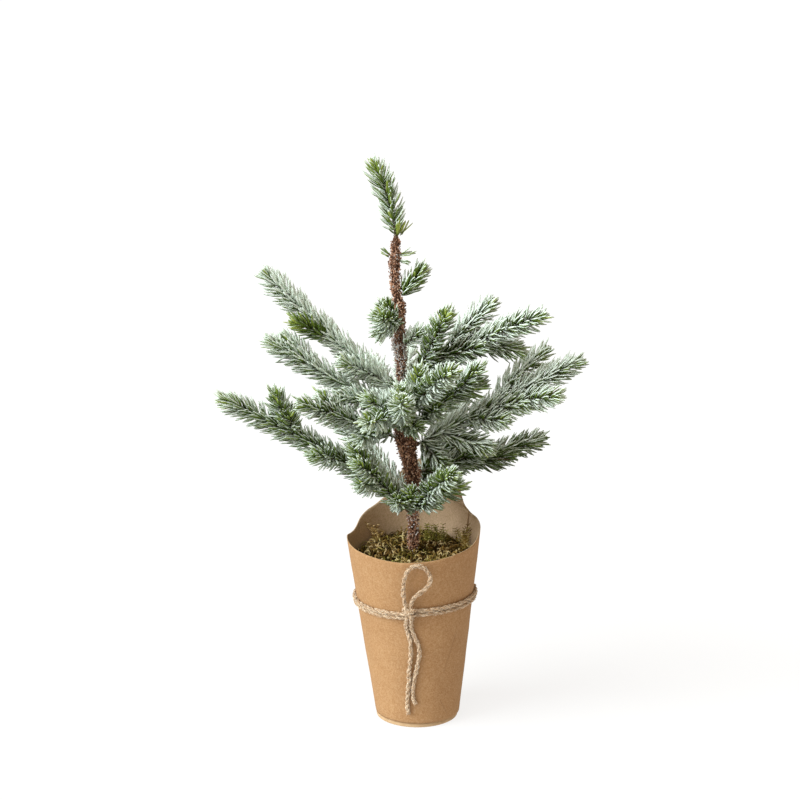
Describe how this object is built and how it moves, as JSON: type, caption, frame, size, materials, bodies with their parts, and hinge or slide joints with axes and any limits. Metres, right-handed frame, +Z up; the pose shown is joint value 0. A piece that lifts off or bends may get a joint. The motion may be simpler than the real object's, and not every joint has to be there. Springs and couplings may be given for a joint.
{
  "type": "tabletop artificial spruce tree",
  "caption": "Frosted artificial spruce with wire branches that bend at the trunk, set in a kraft paper wrapped pot with moss and a jute twine bow.",
  "frame": {"origin": "middle of the card disc's underside, which the tree stands on", "axes": "+Z up the trunk; -Y is the front, where the bow is; +X is the front view's right"},
  "size_m": [0.2785, 0.1782, 0.447],
  "materials": {
    "kraft_paper": "matte kraft",
    "kraft_card": "matte kraft",
    "cup_plastic": "matte",
    "cement": "rough",
    "coir_bed": "fibrous",
    "moss": "curly fibre",
    "jute": "twisted, two strands",
    "core_wire": "drawn",
    "bark": "crumbly, frosted in places",
    "stem_tape": "wound tape over wire",
    "needles": "frosted"
  },
  "bodies": {
    "pot_and_trunk": {"bark_lower": "bark", "bark_upper": "bark", "card_disc": "kraft_card", "cement_ballast": "cement", "coir_bed": "coir_bed", "inner_cup": "cup_plastic", "moss_layer": "moss", "paper_wrap": "kraft_paper", "sprig_frosted_front": "needles", "sprig_upper_front": "needles", "sprig_upper_right": "needles", "trunk_core_wire": "core_wire", "twine_band": "jute", "twine_bow_loop": "jute", "twine_knot": "jute", "twine_tail_left": "jute", "twine_tail_right": "jute"},
    "branch_low_left": {"sprig_low_left": "needles", "sprig_low_left_a": "needles", "stem_low_left": "stem_tape"},
    "branch_low_front_left": {"sprig_low_front_left": "needles", "stem_low_front_left": "stem_tape"},
    "branch_low_front_right": {"sprig_low_front_right": "needles", "stem_low_front_right": "stem_tape"},
    "branch_low_back_right": {"sprig_low_back_right": "needles", "stem_low_back_right": "stem_tape"},
    "branch_low_back_left": {"sprig_low_back_left": "needles", "stem_low_back_left": "stem_tape"},
    "branch_mid_right": {"sprig_mid_right": "needles", "sprig_mid_right_a": "needles", "sprig_mid_right_b": "needles", "stem_mid_right": "stem_tape"},
    "branch_mid_back_right": {"sprig_mid_back_right": "needles", "stem_mid_back_right": "stem_tape"},
    "branch_mid_front_left": {"sprig_mid_front_left": "needles", "stem_mid_front_left": "stem_tape"},
    "branch_mid_left": {"sprig_mid_left": "needles", "stem_mid_left": "stem_tape"},
    "branch_front": {"sprig_front": "needles", "stem_front": "stem_tape"},
    "branch_front_left": {"sprig_front_left": "needles", "stem_front_left": "stem_tape"},
    "branch_front_right": {"sprig_front_right": "needles", "stem_front_right": "stem_tape"},
    "branch_right_front": {"sprig_right_front": "needles", "stem_right_front": "stem_tape"},
    "branch_mid_back": {"sprig_mid_back": "needles", "stem_mid_back": "stem_tape"},
    "branch_high_left": {"sprig_high_left": "needles", "sprig_high_left_a": "needles", "stem_high_left": "stem_tape"},
    "branch_high_right": {"sprig_high_right": "needles", "sprig_high_right_a": "needles", "sprig_high_right_b": "needles", "sprig_high_right_c": "needles", "stem_high_right": "stem_tape"},
    "branch_high_back": {"sprig_high_back": "needles", "stem_high_back": "stem_tape"},
    "leader": {"sprig_leader": "needles", "stem_leader": "stem_tape"}
  },
  "joints": [
    {"name": "bend_low_left", "type": "hinge", "parent": "pot_and_trunk", "child": "branch_low_left", "pos_m": [-0.00856, -0.00099, 0.18], "axis": [-0.1908, 0.9816, 0], "range_deg": [-15, 15]},
    {"name": "bend_low_front_left", "type": "hinge", "parent": "pot_and_trunk", "child": "branch_low_front_left", "pos_m": [-0.00765, -0.00266, 0.171], "axis": [-0.5592, 0.829, 0], "range_deg": [-15, 9]},
    {"name": "bend_low_front_right", "type": "hinge", "parent": "pot_and_trunk", "child": "branch_low_front_right", "pos_m": [-0.00138, -0.00428, 0.173], "axis": [-0.8829, -0.4695, 0], "range_deg": [-15, 15]},
    {"name": "bend_low_back_right", "type": "hinge", "parent": "pot_and_trunk", "child": "branch_low_back_right", "pos_m": [-0.00146, 0.00488, 0.181], "axis": [0.9272, -0.3746, 0], "range_deg": [-5, 15]},
    {"name": "bend_low_back_left", "type": "hinge", "parent": "pot_and_trunk", "child": "branch_low_back_left", "pos_m": [-0.00665, 0.00402, 0.178], "axis": [0.788, 0.6157, 0], "range_deg": [-15, 15]},
    {"name": "bend_mid_right", "type": "hinge", "parent": "pot_and_trunk", "child": "branch_mid_right", "pos_m": [-0.00026, 0.00014, 0.224], "axis": [0.0174, -0.9998, 0], "range_deg": [-15, 15]},
    {"name": "bend_mid_back_right", "type": "hinge", "parent": "pot_and_trunk", "child": "branch_mid_back_right", "pos_m": [0.00138, 0.00315, 0.201], "axis": [0.5, -0.866, 0], "range_deg": [-15, 15]},
    {"name": "bend_mid_front_left", "type": "hinge", "parent": "pot_and_trunk", "child": "branch_mid_front_left", "pos_m": [-0.01679, -0.00499, 0.231], "axis": [-0.5299, 0.848, 0], "range_deg": [-15, 15]},
    {"name": "bend_mid_left", "type": "hinge", "parent": "pot_and_trunk", "child": "branch_mid_left", "pos_m": [-0.01893, -0.00118, 0.251], "axis": [-0.1392, 0.9903, 0], "range_deg": [-15, 7]},
    {"name": "bend_front", "type": "hinge", "parent": "pot_and_trunk", "child": "branch_front", "pos_m": [-0.01011, -0.00957, 0.243], "axis": [-0.9994, 0.0349, 0], "range_deg": [-15, 15]},
    {"name": "bend_front_left", "type": "hinge", "parent": "pot_and_trunk", "child": "branch_front_left", "pos_m": [-0.01408, -0.00788, 0.25], "axis": [-0.9063, 0.4226, 0], "range_deg": [-15, 15]},
    {"name": "bend_front_right", "type": "hinge", "parent": "pot_and_trunk", "child": "branch_front_right", "pos_m": [-0.00637, -0.00691, 0.253], "axis": [-0.848, -0.5299, 0], "range_deg": [-15, 15]},
    {"name": "bend_right_front", "type": "hinge", "parent": "pot_and_trunk", "child": "branch_right_front", "pos_m": [-0.0014, -0.00478, 0.242], "axis": [-0.5, -0.866, 0], "range_deg": [-15, 15]},
    {"name": "bend_mid_back", "type": "hinge", "parent": "pot_and_trunk", "child": "branch_mid_back", "pos_m": [-0.01149, 0.00906, 0.232], "axis": [0.9613, 0.2756, 0], "range_deg": [-15, 15]},
    {"name": "bend_high_left", "type": "hinge", "parent": "pot_and_trunk", "child": "branch_high_left", "pos_m": [-0.01737, 0.00019, 0.267], "axis": [0.0349, 0.9994, 0], "range_deg": [-7, 15]},
    {"name": "bend_high_right", "type": "hinge", "parent": "pot_and_trunk", "child": "branch_high_right", "pos_m": [-0.00717, -0.00053, 0.272], "axis": [-0.1045, -0.9945, 0], "range_deg": [-15, 8]},
    {"name": "bend_high_back", "type": "hinge", "parent": "pot_and_trunk", "child": "branch_high_back", "pos_m": [-0.01089, 0.0072, 0.258], "axis": [0.9994, -0.0349, 0], "range_deg": [-15, 15]},
    {"name": "bend_leader", "type": "hinge", "parent": "pot_and_trunk", "child": "leader", "pos_m": [-0.0168, 0, 0.389], "axis": [0, 1, 0], "range_deg": [-15, 15]}
  ]
}
